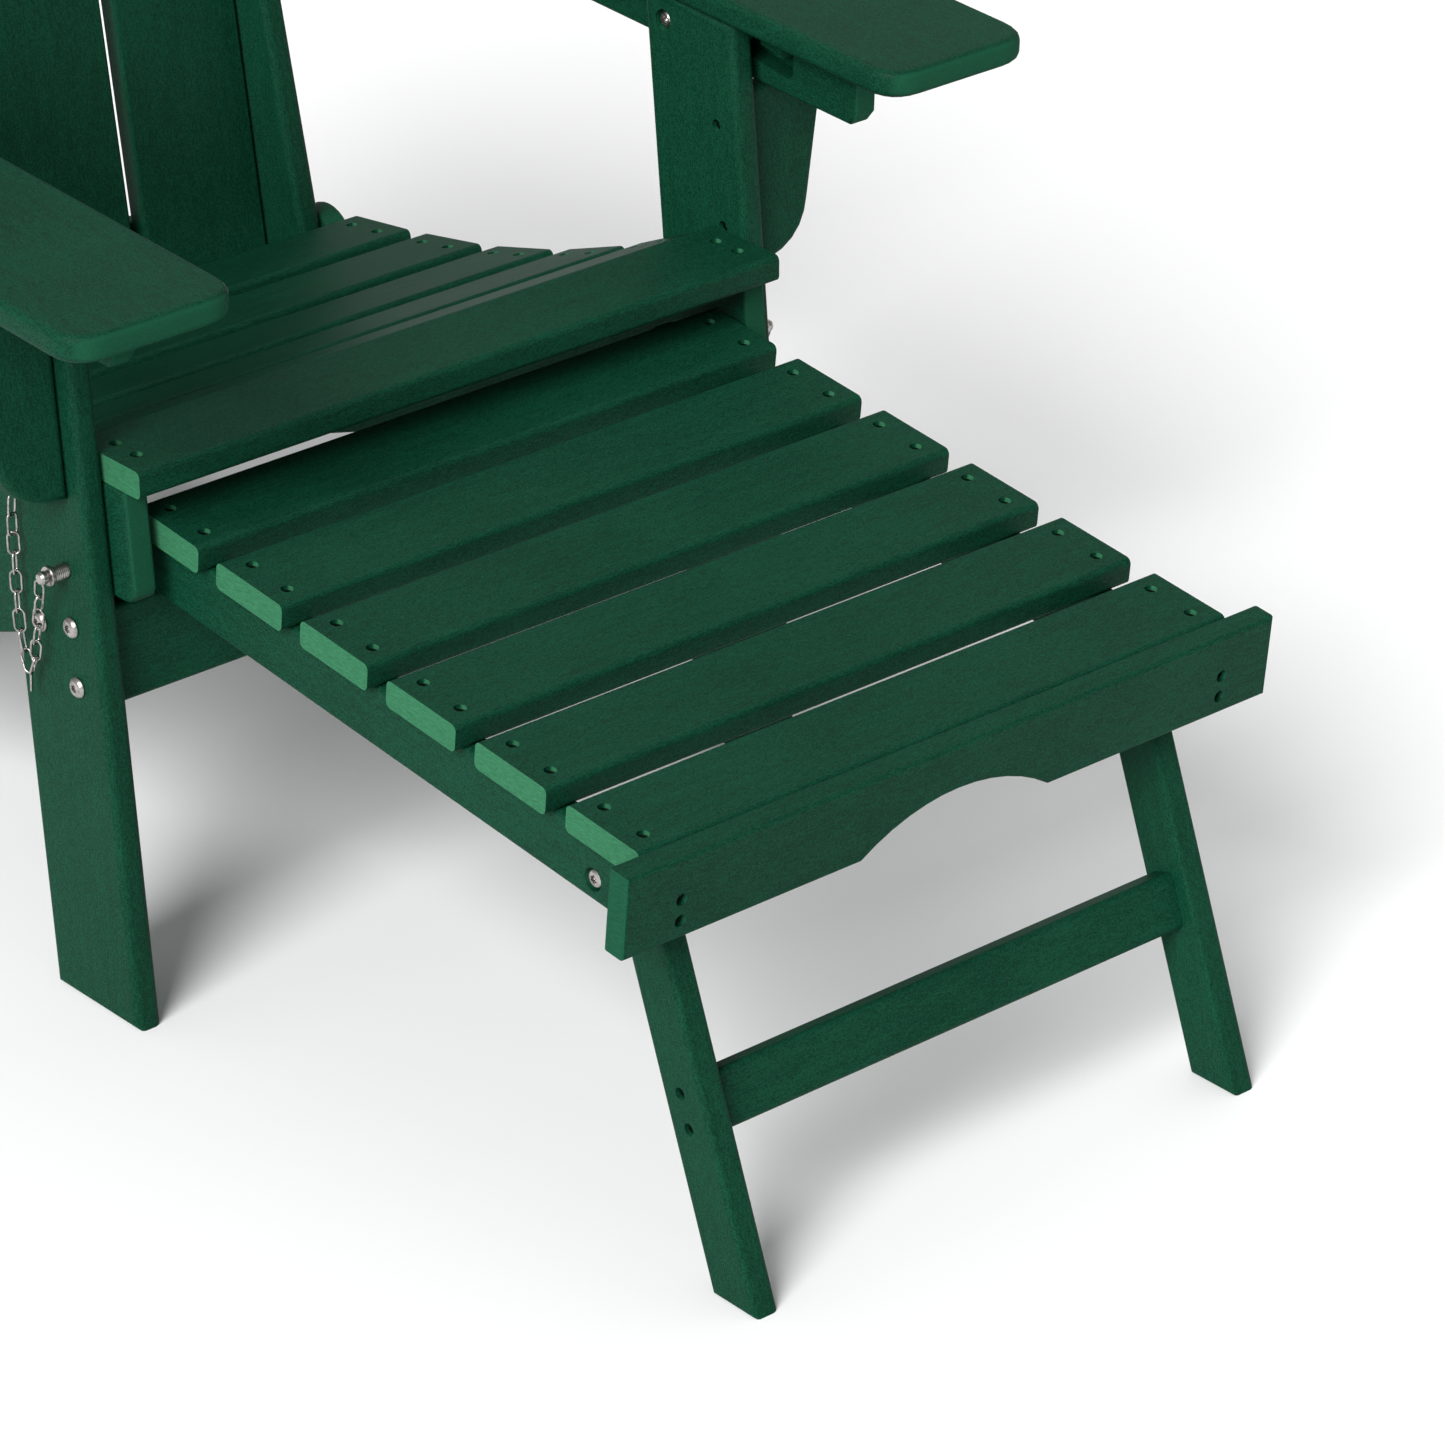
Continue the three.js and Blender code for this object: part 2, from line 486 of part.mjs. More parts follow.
// The slot is blind: a web of the rail's outer face stays behind it.
function slotTool(side) {
  const rear = slotAt(0);
  const front = slotAt(1);
  const shape = new THREE.Shape();
  shape.moveTo(front.y, front.z - SLOT.half);
  shape.lineTo(rear.y, rear.z - SLOT.half);
  shape.absarc(rear.y, rear.z, SLOT.half, -Math.PI / 2, 0);
  for (let notch = 0; notch < SLOT.notches; notch += 1) {
    const at = slotAt(notch / (SLOT.notches - 1));
    const roof = at.z + SLOT.half + SLOT.notchRise;
    const right = notch === 0 ? SLOT.half : SLOT.notchHalf;
    const left = notch === SLOT.notches - 1 ? SLOT.half : SLOT.notchHalf;
    shape.lineTo(at.y + right, notch === 0 ? roof : at.z + SLOT.half);
    if (notch > 0) shape.lineTo(at.y + right, roof);
    shape.lineTo(at.y - left, roof);
    if (notch < SLOT.notches - 1) shape.lineTo(at.y - left, at.z + SLOT.half);
  }
  shape.lineTo(front.y - SLOT.half, front.z);
  shape.absarc(front.y, front.z, SLOT.half, Math.PI, Math.PI * 1.5);
  return sawnBar(shape, 'YZ', BOARD + 5 - SLOT.web).translate(side > 0 ? -5 : SLOT.web, 0, 0);
}

const armFrontY = (ARM_FRONT_Y - armPivotY) / cosArm;
const armRearY = ARM_TAIL / cosArm;
const railFrontY = (ARM_RAIL_FRONT_Y - armPivotY) / cosArm;
const railHalf = ARM_RAIL_HEIGHT / 2;

function armOutline(side) {
  const taperY = armFrontY + (armRearY - armFrontY) * 0.62;
  const corner = ARM_CORNER;
  const points = [[0, armFrontY], [ARM_WIDTH, armFrontY], [ARM_WIDTH, taperY], [ARM_REAR_WIDTH, armRearY],
    [0, armRearY]].map(([x, y]) => new THREE.Vector2(side * (armInnerX + x), y));
  if (side < 0) points.reverse();
  const shape = new THREE.Shape();
  points.forEach((point, index) => {
    const before = points[(index + points.length - 1) % points.length];
    const after = points[(index + 1) % points.length];
    const start = point.clone().add(before.clone().sub(point).setLength(corner));
    const end = point.clone().add(after.clone().sub(point).setLength(corner));
    if (index === 0) shape.moveTo(start.x, start.y);
    else shape.lineTo(start.x, start.y);
    shape.quadraticCurveTo(point.x, point.y, end.x, end.y);
  });
  return shape;
}

function railOutline() {
  return polygon([[railFrontY + 6, -railHalf], [armRearY - 30, -railHalf], [armRearY - 30, railHalf - FIT],
    [railFrontY, railHalf - FIT], [railFrontY, -railHalf + 8]]);
}

const blockOutline = polygon([[-PIVOT_BLOCK.front, -railHalf], [PIVOT_BLOCK.rear, -railHalf],
  [PIVOT_BLOCK.rear, railHalf - FIT], [-PIVOT_BLOCK.front, railHalf - FIT]]);
const blockGeometry = cut(routedBoard(blockOutline, 'YZ', BOARD, 3), [rod(SHANK + BORE, -5, BOARD + 5, 0, 0)]);
const pivotBlockX = armInnerX + 1;
const pivotSpan = pivotBlockX + BOARD - stileX + FIT;

for (const [name, side] of SIDES) {
  const arm = frame(chair, armPivot, rad(ARM_SLOPE));
  piece(`${name}_arm_board`, routedBoard(armOutline(side), 'XY'), plastic, arm, { z: railHalf });
  const rail = cut(routedBoard(railOutline(), 'YZ', BOARD, 3), [slotTool(side)]);
  piece(`${name}_arm_rail`, rail, plastic, arm, { x: lowX(side, armRailX) });
  piece(`${name}_arm_pivot_block`, blockGeometry, plastic, arm, { x: lowX(side, pivotBlockX) });
  const sunk = COUNTERBORE.depth;
  const inward = outward(turned(boltProfile(pivotSpan + 5 - sunk, 5 - FIT)), -side);
  piece(`${name}_arm_pivot_bolt`, inward, steel, arm, { x: side * (stileX - FIT + sunk) });
}

// ---------------------------------------------------------------- footrest
const footrest = frame(chair, FOOT_REAR, rad(FOOT_TILT));
const cosFoot = Math.cos(rad(FOOT_TILT));
const sinFoot = Math.sin(rad(FOOT_TILT));
const inFootrest = ({ y, z }) => ({
  y: (y - FOOT_REAR.y) * cosFoot + (z - FOOT_REAR.z) * sinFoot,
  z: (z - FOOT_REAR.z) * cosFoot - (y - FOOT_REAR.y) * sinFoot,
});
const apronRear = -(FOOT_SLATS - 1) * FOOT_PITCH - SLAT_WIDTH - FIT;
const footRailTop = -BOARD - FIT;
const footRailInner = FOOT_RAIL_X - BOARD;
const footHinge = inFootrest(FOOT_HINGE);
const footPin = inFootrest(pinHole);

for (let index = 0; index < FOOT_SLATS; index += 1) {
  piece(`foot_slat_${index + 1}`, slatGeometry(FOOT_SLAT_LENGTH, SLAT_WIDTH), plastic, footrest,
    { y: -index * FOOT_PITCH });
}

const footRailOutline = roundedRectangle(apronRear + FIT, footRailTop - FOOT_RAIL_HEIGHT,
  FOOT_RAIL_TAIL, footRailTop, 6);
function footRailGeometry(side) {
  const pocket = side > 0 ? [BOARD - COUNTERBORE.depth, BOARD + 5] : [-5, COUNTERBORE.depth];
  return cut(routedBoard(footRailOutline, 'YZ', BOARD, 3.5), [
    rod(SHANK + BORE, -5, BOARD + 5, footHinge.y, footHinge.z),
    rod(PIN.radius + BORE, -5, BOARD + 5, footPin.y, footPin.z),
    rod(COUNTERBORE.radius, ...pocket, footHinge.y, footHinge.z),
  ]);
}

// The apron closes the front. A low round arch is cut in its lower edge.
function apronOutline() {
  const archRadius = (APRON.archHalf ** 2 + APRON.archRise ** 2) / (2 * APRON.archRise);
  const archAngle = Math.asin(APRON.archHalf / archRadius);
  const bottom = APRON.proud - APRON.height;
  const half = APRON.length / 2;
  const shape = new THREE.Shape();
  shape.moveTo(-half, bottom);
  shape.lineTo(-APRON.archHalf, bottom);
  shape.absarc(0, bottom + APRON.archRise - archRadius, archRadius,
    Math.PI / 2 + archAngle, Math.PI / 2 - archAngle, true);
  shape.lineTo(half, bottom);
  shape.lineTo(half, APRON.proud);
  shape.lineTo(-half, APRON.proud);
  return shape;
}
piece('foot_apron', routedBoard(apronOutline(), 'XZ', BOARD, 3), plastic, footrest, { y: apronRear });

for (const [name, side] of SIDES) {
  piece(`${name}_foot_rail`, footRailGeometry(side), plastic, footrest, { x: lowX(side, footRailInner) });
  piece(`${name}_foot_hinge_bolt`, outward(turned(boltProfile(2 * BOARD + 3, 5)), side), steel, footrest,
    { x: side * (FOOT_RAIL_X - COUNTERBORE.depth + FIT), y: footHinge.y, z: footHinge.z });
}

// ---------------------------------------------------------------- folding legs of the footrest
// Their frame leans with the legs: y is forward of the hinge when negative, z up the leg.
const footLegs = frame(chair, FOOT_HINGE, rad(-FOOT_LEG_LEAN));
const lean = rad(FOOT_LEG_LEAN);
const footLegRear = FOOT_LEG_REAR;
const footLegFront = FOOT_LEG_REAR - FOOT_LEG_WIDTH;
// Leaning forward: the foot is ahead of the hinge, so the frame is turned the other way.
footLegs.rotation.x = -lean;

function footLegOutline() {
  // The foot is sawn level with the floor.
  const toFloor = (y) => -(FOOT_HINGE.z - y * Math.sin(lean)) / Math.cos(lean);
  const top = 15;
  const shape = new THREE.Shape();
  shape.moveTo(footLegFront, toFloor(footLegFront));
  shape.lineTo(footLegRear, toFloor(footLegRear));
  shape.lineTo(footLegRear, top - 8);
  shape.quadraticCurveTo(footLegRear, top, footLegRear - 8, top);
  shape.lineTo(footLegFront + 8, top);
  shape.quadraticCurveTo(footLegFront, top, footLegFront, top - 8);
  return shape;
}

const footLegX = footRailInner - FIT - BOARD;
const footLegGeometry = cut(routedBoard(footLegOutline(), 'YZ', BOARD, 4), [
  rod(SHANK + BORE, -5, BOARD + 5, 0, 0),
]);
for (const [name, side] of SIDES) {
  piece(`${name}_foot_leg`, footLegGeometry, plastic, footLegs, { x: lowX(side, footLegX) });
}
const footBarZ = (FOOT_BAR.low - FOOT_HINGE.z) / Math.cos(lean);
piece('foot_crossbar', slatGeometry(2 * (footLegX - FIT), FOOT_BAR.height).rotateX(Math.PI / 2), plastic,
  footLegs, { y: footLegFront + FOOT_BAR.setback, z: footBarZ + FOOT_BAR.height });

// ---------------------------------------------------------------- origin
const outline = new THREE.Box3().setFromObject(chair, true);
chair.position.y = -(outline.min.y + outline.max.y) / 2;
chair.position.z = -outline.min.z;
chair.updateMatrixWorld(true);

export default chair;
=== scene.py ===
"""Reclining adirondack chair in green recycled-plastic boards, with its footrest pulled out."""
import math

import bmesh
import bpy
from mathutils import Matrix, Vector


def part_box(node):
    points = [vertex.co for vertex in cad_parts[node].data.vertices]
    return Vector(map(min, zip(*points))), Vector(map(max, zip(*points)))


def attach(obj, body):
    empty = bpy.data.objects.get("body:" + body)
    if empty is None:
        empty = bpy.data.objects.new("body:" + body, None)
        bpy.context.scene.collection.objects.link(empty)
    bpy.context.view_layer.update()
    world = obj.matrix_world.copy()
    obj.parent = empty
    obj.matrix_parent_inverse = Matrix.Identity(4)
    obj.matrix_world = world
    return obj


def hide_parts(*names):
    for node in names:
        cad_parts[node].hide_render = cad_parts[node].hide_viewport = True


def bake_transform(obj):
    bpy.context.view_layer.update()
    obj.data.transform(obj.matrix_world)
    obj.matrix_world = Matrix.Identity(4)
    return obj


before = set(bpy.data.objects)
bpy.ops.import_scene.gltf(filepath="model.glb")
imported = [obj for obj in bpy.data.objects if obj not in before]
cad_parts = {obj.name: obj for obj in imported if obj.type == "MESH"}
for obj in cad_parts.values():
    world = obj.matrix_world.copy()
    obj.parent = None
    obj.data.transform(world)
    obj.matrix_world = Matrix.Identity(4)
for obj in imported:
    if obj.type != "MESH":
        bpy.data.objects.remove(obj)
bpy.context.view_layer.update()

# ---------------------------------------------------------------------- camera
# A long lens in front of the chair, on the sitter's right and above the arms. It looks down on
# the seat and the footrest.
CAMERA_PLACE = Vector((-2.3752, -3.1250, 2.0840))
CAMERA_AIM = Vector((0.5830, 0.6728, -0.4555))


def placed(name, data):
    """A new object in the scene, at the origin."""
    made = bpy.data.objects.new(name, data)
    bpy.context.scene.collection.objects.link(made)
    return made


camera = placed("camera", bpy.data.cameras.new("camera"))
camera.data.lens = 159.5
camera.data.sensor_width = 36
camera.data.clip_end = 60
camera.location = CAMERA_PLACE
camera.rotation_euler = CAMERA_AIM.to_track_quat("-Z", "Y").to_euler()
bpy.context.scene.camera = camera

# ---------------------------------------------------------------------- floor and studio light
# A seamless pale floor in an even room. One broad soft sun from the left throws the pale
# shadows to the right of the legs, and a weak one from behind the chair fills the shade.
FLOOR_HALF, FLOOR_COLOUR, ROOM_STRENGTH = 14, (0.90, 0.90, 0.905, 1), 0.42
LAMPS = {"key_lamp": ((0.91, 0.41, -0.68), 32, 4.1),        # travel, softness in degrees, strength
         "fill_lamp": ((-0.5, -0.85, -1.3), 70, 0.55)}

floor_mesh = bpy.data.meshes.new("studio_floor")
floor_mesh.from_pydata([(x * FLOOR_HALF, y * FLOOR_HALF, 0)
                        for x, y in ((-1, -1), (1, -1), (1, 1), (-1, 1))], [], [(0, 1, 2, 3)])
studio_floor = placed("studio_floor", floor_mesh)
floor_paint = bpy.data.materials.new("studio_floor_paint")
floor_paint.use_nodes = True
floor_shader = floor_paint.node_tree.nodes["Principled BSDF"]
floor_shader.inputs["Base Color"].default_value = FLOOR_COLOUR
floor_shader.inputs["Roughness"].default_value = 0.9
floor_shader.inputs["Specular IOR Level"].default_value = 0.1
floor_mesh.materials.append(floor_paint)

room = bpy.data.worlds.new("studio_room")
room.use_nodes = True
room.node_tree.nodes["Background"].inputs["Color"].default_value = (1, 1, 1, 1)
room.node_tree.nodes["Background"].inputs["Strength"].default_value = ROOM_STRENGTH
bpy.context.scene.world = room
bpy.context.scene.view_settings.view_transform = "Standard"

for name, (travel, softness, strength) in LAMPS.items():
    lamp = placed(name, bpy.data.lights.new(name, "SUN"))
    lamp.data.angle = math.radians(softness)
    lamp.data.energy = strength
    lamp.rotation_euler = Vector(travel).to_track_quat("-Z", "Y").to_euler()


# ---------------------------------------------------------------------- front legs
# Each front leg is one routed board of dyed polyethylene lumber. Its skin is satin with a fine
# pebble, and the cutter leaves its edges and its sawn ends paler and slightly fuzzy.
class Socket:
    """A socket in a node tree. Arithmetic on it adds Math nodes, and node() adds any other."""

    def __init__(self, tree, socket=None):
        self.tree, self.socket = tree, socket

    def node(self, kind, settings, sockets, out=0):
        made = self.tree.nodes.new(kind)
        for name, value in settings.items():
            setattr(made, name, value)
        for key, value in sockets.items():
            if isinstance(value, Socket):
                self.tree.links.new(value.socket, made.inputs[key])
            else:
                made.inputs[key].default_value = value
        return Socket(self.tree, made.outputs[out])

    def math(self, operation, *values):
        return self.node("ShaderNodeMath", {"operation": operation}, dict(enumerate(values)))

    def vector(self, operation, *values, out=0):
        return self.node("ShaderNodeVectorMath", {"operation": operation},
                         dict(enumerate(values)), out)

    def colour(self, share, low, high):
        """A mix of two colours; the numbers are the colour sockets of the Mix node."""
        return self.node("ShaderNodeMix", {"data_type": "RGBA"}, {0: share, 6: low, 7: high}, 2)

    def noise(self, scale, detail, roughness=0.5):
        return self.node("ShaderNodeTexNoise", {}, {
            "Vector": self, "Scale": scale, "Detail": detail, "Roughness": roughness})

    def within(self, low, high):
        return self.node("ShaderNodeMapRange", {"interpolation_type": "SMOOTHSTEP"},
                         {0: self, 1: low, 2: high})

    def __add__(self, other): return self.math("ADD", self, other)
    def __sub__(self, other): return self.math("SUBTRACT", self, other)
    def __rsub__(self, other): return self.math("SUBTRACT", other, self)
    def __mul__(self, other): return self.math("MULTIPLY", self, other)
    __radd__, __rmul__ = __add__, __mul__


SKIN_GREEN = (0.0020, 0.0270, 0.0135, 1)
WORN_GREEN = (0.0048, 0.0550, 0.0280, 1)
ROUTED_GREEN = (0.0100, 0.0850, 0.0430, 1)
SAWN_GREEN = (0.0380, 0.1800, 0.0880, 1)
GRAIN_STRETCH = 0.85            # how far streaks and pebbles are drawn out along the grain
CUT_SHADE = 0.62                # the darker tone in a cut face
CUT_FROM, CUT_TO = 0.55, 0.9    # how squarely a face ends the grain before it counts as cut


def dimmed(colour, share):
    return tuple(part * share for part in colour[:3]) + (1,)


def plastic_board(name, along, cut_green=ROUTED_GREEN):
    """Board skin with its grain along a direction; faces that end the grain are freshly cut."""
    material = bpy.data.materials.new(name)
    material.use_nodes = True
    tree, grain = material.node_tree, tuple(Vector(along).normalized())
    start = Socket(tree)
    place = start.node("ShaderNodeTexCoord", {}, {}, "Object")
    facing = start.node("ShaderNodeTexCoord", {}, {}, "Normal")
    run = place.vector("DOT_PRODUCT", place, grain, out="Value")
    across = place.vector("SUBTRACT", place, start.node(
        "ShaderNodeVectorMath", {"operation": "SCALE"}, {0: grain, 3: run * GRAIN_STRETCH}))
    streak = across.noise(160.0, 3.0)
    pebble = across.noise(1050.0, 3.0, 0.8)
    fleck = place.noise(900.0, 1.0)
    cloud = place.noise(9.0, 3.0)
    saw = start.node("ShaderNodeMapping", {}, {
        "Vector": place, "Rotation": (0.7, 0.25, 0.35),
        "Scale": (1.0, 0.12, 1.0)}).noise(1500.0, 3.0, 0.75)
    squarely = facing.vector("DOT_PRODUCT", facing, grain, out="Value")
    end = squarely.math("ABSOLUTE", squarely).within(CUT_FROM, CUT_TO)
    tone = ((cloud - 0.5) * 0.8 + (streak - 0.5) * 0.8 + (pebble - 0.5) * 2.8
            + (fleck - 0.5) * 2.8 + 0.5)
    skin = start.colour(tone, SKIN_GREEN, WORN_GREEN)
    pale = start.colour(saw.within(0.3, 0.72), dimmed(cut_green, CUT_SHADE), cut_green)
    sheen = (0.40 + streak * 0.10 + pebble * 0.16) * (1 - end) + end * (0.72 + saw * 0.12)
    height = (pebble * 0.6 + fleck * 0.5 + streak * 0.3) * (1 - end) + end * saw * 1.2
    relief = start.node("ShaderNodeBump", {}, {
        "Strength": 0.5, "Distance": 0.0006, "Height": height})
    shader = tree.nodes["Principled BSDF"]
    shader.inputs["Specular IOR Level"].default_value = 0.06
    tree.links.new(start.colour(end, skin, pale).socket, shader.inputs["Base Color"])
    tree.links.new(sheen.socket, shader.inputs["Roughness"])
    tree.links.new(relief.socket, shader.inputs["Normal"])
    return material


def settled(piece, body, angle=38):
    """Rounds read smooth and flats stay flat; the piece rides on its body."""
    piece.data.shade_smooth()
    piece.data.set_sharp_from_angle(angle=math.radians(angle))
    flat = piece.modifiers.new("even_faces", "WEIGHTED_NORMAL")
    flat.keep_sharp = True
    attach(piece, body)
    return piece


def routed_board(node, body, material):
    """The board's own shape, with its triangles joined into one skin."""
    shape = bmesh.new()
    shape.from_mesh(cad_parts[node].data)
    bmesh.ops.remove_doubles(shape, verts=shape.verts, dist=1e-6)
    bmesh.ops.dissolve_limit(shape, angle_limit=math.radians(0.4), verts=shape.verts,
                             edges=shape.edges)
    mesh = bpy.data.meshes.new(node + "_board")
    mesh.from_pydata([vert.co[:] for vert in shape.verts], [],
                     [[vert.index for vert in face.verts] for face in shape.faces])
    shape.free()
    mesh.materials.append(material)
    piece = placed(node + "_board", mesh)
    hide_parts(node)
    return settled(piece, body)


def up_along(lean):
    """The way up in a piece that leans back by an angle in degrees."""
    return Vector((0, math.sin(math.radians(lean)), math.cos(math.radians(lean))))


def back_along(fall):
    """The way to the rear in a piece that falls by an angle in degrees."""
    return Vector((0, math.cos(math.radians(fall)), -math.sin(math.radians(fall))))


SIDES = (("left", -1), ("right", 1))      # each side's name, and its way outward along X
LEG_RAKE = 5.4
leg_up, leg_back = up_along(LEG_RAKE), back_along(LEG_RAKE)
leg_toe = Vector((0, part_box("left_front_leg")[0][1], 0))
leg_plastic = plastic_board("leg_plastic", leg_up)
front_legs = {side: routed_board(f"{side}_front_leg", "base", leg_plastic) for side, _ in SIDES}

# ---------------------------------------------------------------------- seat stringers
# The two side boards carry the seat slats and run down to the floor behind as the rear legs.
STRINGER_FALL = 20.8
stringer_plastic = plastic_board("stringer_plastic", back_along(STRINGER_FALL))
for side, _ in SIDES:
    routed_board(f"{side}_seat_stringer", "base", stringer_plastic)

# ---------------------------------------------------------------------- crossbars
# Straight lengths of the narrow board, sawn square. One node tree makes every such length:
# a rounded section is drawn along X, and a copy is set and turned at each point it is given.
SLAT_WIDTH, BOARD_THICKNESS, SLAT_ROUND = 0.0675, 0.019, 0.0042


def tree_inputs(tree, inputs):
    """Declares a node tree's named inputs and its one geometry output."""
    for label, kind in inputs.items():
        tree.interface.new_socket(label, in_out="INPUT", socket_type="NodeSocket" + kind)
    tree.interface.new_socket("Geometry", in_out="OUTPUT", socket_type="NodeSocketGeometry")
    entry = tree.nodes.new("NodeGroupInput")
    return {label: Socket(tree, entry.outputs[label]) for label in inputs}


def point_vector(maker, name):
    return maker.node("GeometryNodeInputNamedAttribute", {"data_type": "FLOAT_VECTOR"},
                      {"Name": name})


def rounded_outline(maker, width, height, radius, count):
    outline = maker.node("GeometryNodeCurvePrimitiveQuadrilateral", {}, {
        "Width": width, "Height": height})
    return maker.node("GeometryNodeFilletCurve", {"mode": "POLY"}, {
        "Curve": outline, "Radius": radius, "Count": count})


def copies_at_points(maker, given, shape, rotation):
    """Ends a tree: the shape at each point, turned, made real and given its material."""
    copies = maker.node("GeometryNodeInstanceOnPoints", {}, {
        "Points": given["Geometry"], "Instance": shape, "Rotation": rotation})
    real = maker.node("GeometryNodeRealizeInstances", {}, {"Geometry": copies})
    dressed = maker.node("GeometryNodeSetMaterial", {}, {
        "Geometry": real, "Material": given["Finish"]})
    maker.tree.links.new(dressed.socket, maker.tree.nodes.new("NodeGroupOutput").inputs[0])


slat_tree = bpy.data.node_groups.new("sawn_lengths", "GeometryNodeTree")
given = tree_inputs(slat_tree, {"Geometry": "Geometry", "Length": "Float", "Width": "Float",
                                "Thickness": "Float", "Round": "Float", "Finish": "Material"})
maker = Socket(slat_tree)
section = rounded_outline(maker, given["Width"], given["Thickness"], given["Round"], 5)
middle = maker.node("ShaderNodeCombineXYZ", {}, {0: given["Length"] * 0.5})
spine = maker.node("GeometryNodeCurvePrimitiveLine", {}, {
    "Start": middle.vector("MULTIPLY", middle, (-1, 0, 0)), "End": middle})
length = maker.node("GeometryNodeCurveToMesh", {}, {
    "Curve": spine, "Profile Curve": section, "Fill Caps": True})
copies_at_points(maker, given, length, maker.node("FunctionNodeEulerToRotation", {}, {
    "Euler": point_vector(maker, "turn")}))


def grown(name, tree, points, vectors, inputs):
    """Runs a node tree over points, with one named vector at each, and keeps the plain mesh."""
    seeds = bpy.data.meshes.new(name + "_points")
    seeds.from_pydata([tuple(point) for point in points], [], [])
    for label, values in vectors.items():
        layer = seeds.attributes.new(label, "FLOAT_VECTOR", "POINT")
        for entry, value in zip(layer.data, values):
            entry.vector = tuple(value)
    carrier = placed(name + "_points", seeds)
    modifier = carrier.modifiers.new("grow", "NODES")
    modifier.node_group = tree
    for item in tree.interface.items_tree:
        if item.in_out == "INPUT" and item.name in inputs:
            modifier[item.identifier] = inputs[item.name]
    evaluated = carrier.evaluated_get(bpy.context.evaluated_depsgraph_get())
    mesh = bpy.data.meshes.new_from_object(evaluated)
    mesh.name = name
    finish = next(material for material in mesh.materials if material)
    mesh.materials.clear()
    mesh.materials.append(finish)
    mesh.polygons.foreach_set("material_index", [0] * len(mesh.polygons))
    piece = placed(name, mesh)
    carrier.modifiers.remove(modifier)
    bpy.data.objects.remove(carrier)
    return piece


def middle_of(node):
    low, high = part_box(node)
    return (Vector(low) + Vector(high)) / 2


def across_x(node):
    low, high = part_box(node)
    return high[0] - low[0]


def sawn_lengths(name, nodes, turns, length, width, material):
    """Straight boards along X, one at the middle of each node, turned by its angle in degrees."""
    piece = grown(name, slat_tree, [middle_of(node) for node in nodes],
                  {"turn": [(math.radians(turn), 0, 0) for turn in turns]},
                  {"Length": length, "Width": width, "Thickness": BOARD_THICKNESS,
                   "Round": SLAT_ROUND, "Finish": material})
    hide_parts(*nodes)
    return piece


slat_plastic = plastic_board("slat_plastic", (1, 0, 0), SAWN_GREEN)
for node, turn in (("front_crossbar", 90 - LEG_RAKE), ("rear_crossbar", -STRINGER_FALL)):
    crossbar = sawn_lengths(node + "_board", [node], [turn], across_x(node), SLAT_WIDTH,
                            slat_plastic)
    settled(crossbar, "base")

# ---------------------------------------------------------------------- seat slats
# Six slats, screwed down at both ends through counterbores. The screws are dark-coated, with a
# star recess, and their heads lie well below the face.
SEAT_TURNS = [0, -25, -20, -15.5, -10.5, -8]
FRONT_SLAT_WIDTH = 0.072
COUNTERBORE_RADIUS, COUNTERBORE_DEPTH, DRILL_CLEAR = 0.0042, 0.0036, 0.008
SCREW_PROFILE = [(-0.006, 0.0018), (-0.0022, 0.0020), (-0.0003, 0.0037), (0.0, 0.0037),
                 (0.0003, 0.0033)]        # height from the head's rim, radius
SCREW_STAR = (0.0019, 0.0014, 6)          # radius, depth and points of the recess
STAR_WAVE, STAR_TAPER = 0.16, 0.9
SCREW_LIFT = 0.0007                       # the head's rim above the floor of its hole
SCREW_INSET = 0.016                       # from a slat's end
FRONT_SCREW_SPREAD, SEAT_SCREW_SPREAD = 0.0113, 0.0150      # half the space between a pair


def counterbored(piece, places, depth):
    """Drills a flat-bottomed hole at each (place, outward direction) of a board."""
    drill = bmesh.new()
    for place, outward in places:
        centre = Vector(place) + Vector(outward) * ((DRILL_CLEAR - depth) / 2)
        aim = Vector(outward).to_track_quat("Z", "Y").to_matrix().to_4x4()
        bmesh.ops.create_cone(drill, cap_ends=True, segments=24, radius1=COUNTERBORE_RADIUS,
                              radius2=COUNTERBORE_RADIUS, depth=depth + DRILL_CLEAR,
                              matrix=Matrix.Translation(centre) @ aim)
    mesh = bpy.data.meshes.new("drill")
    drill.to_mesh(mesh)
    drill.free()
    mesh.materials.append(piece.data.materials[0])
    cutter = placed("drill", mesh)
    hole = piece.modifiers.new("hole", "BOOLEAN")
    hole.operation, hole.solver, hole.object = "DIFFERENCE", "MANIFOLD", cutter
    evaluated = piece.evaluated_get(bpy.context.evaluated_depsgraph_get())
    drilled = bpy.data.meshes.new_from_object(evaluated)
    piece.modifiers.remove(hole)
    bpy.data.objects.remove(cutter)
    piece.data = drilled


screw_tree = bpy.data.node_groups.new("sunk_screws", "GeometryNodeTree")
given = tree_inputs(screw_tree, {"Geometry": "Geometry", "Head": "Object", "Finish": "Material"})
maker = Socket(screw_tree)
head_shape = maker.node("GeometryNodeObjectInfo", {}, {"Object": given["Head"]}, "Geometry")
copies_at_points(maker, given, head_shape, maker.node(
    "FunctionNodeAlignRotationToVector", {"axis": "Z"}, {"Vector": point_vector(maker, "aim")}))


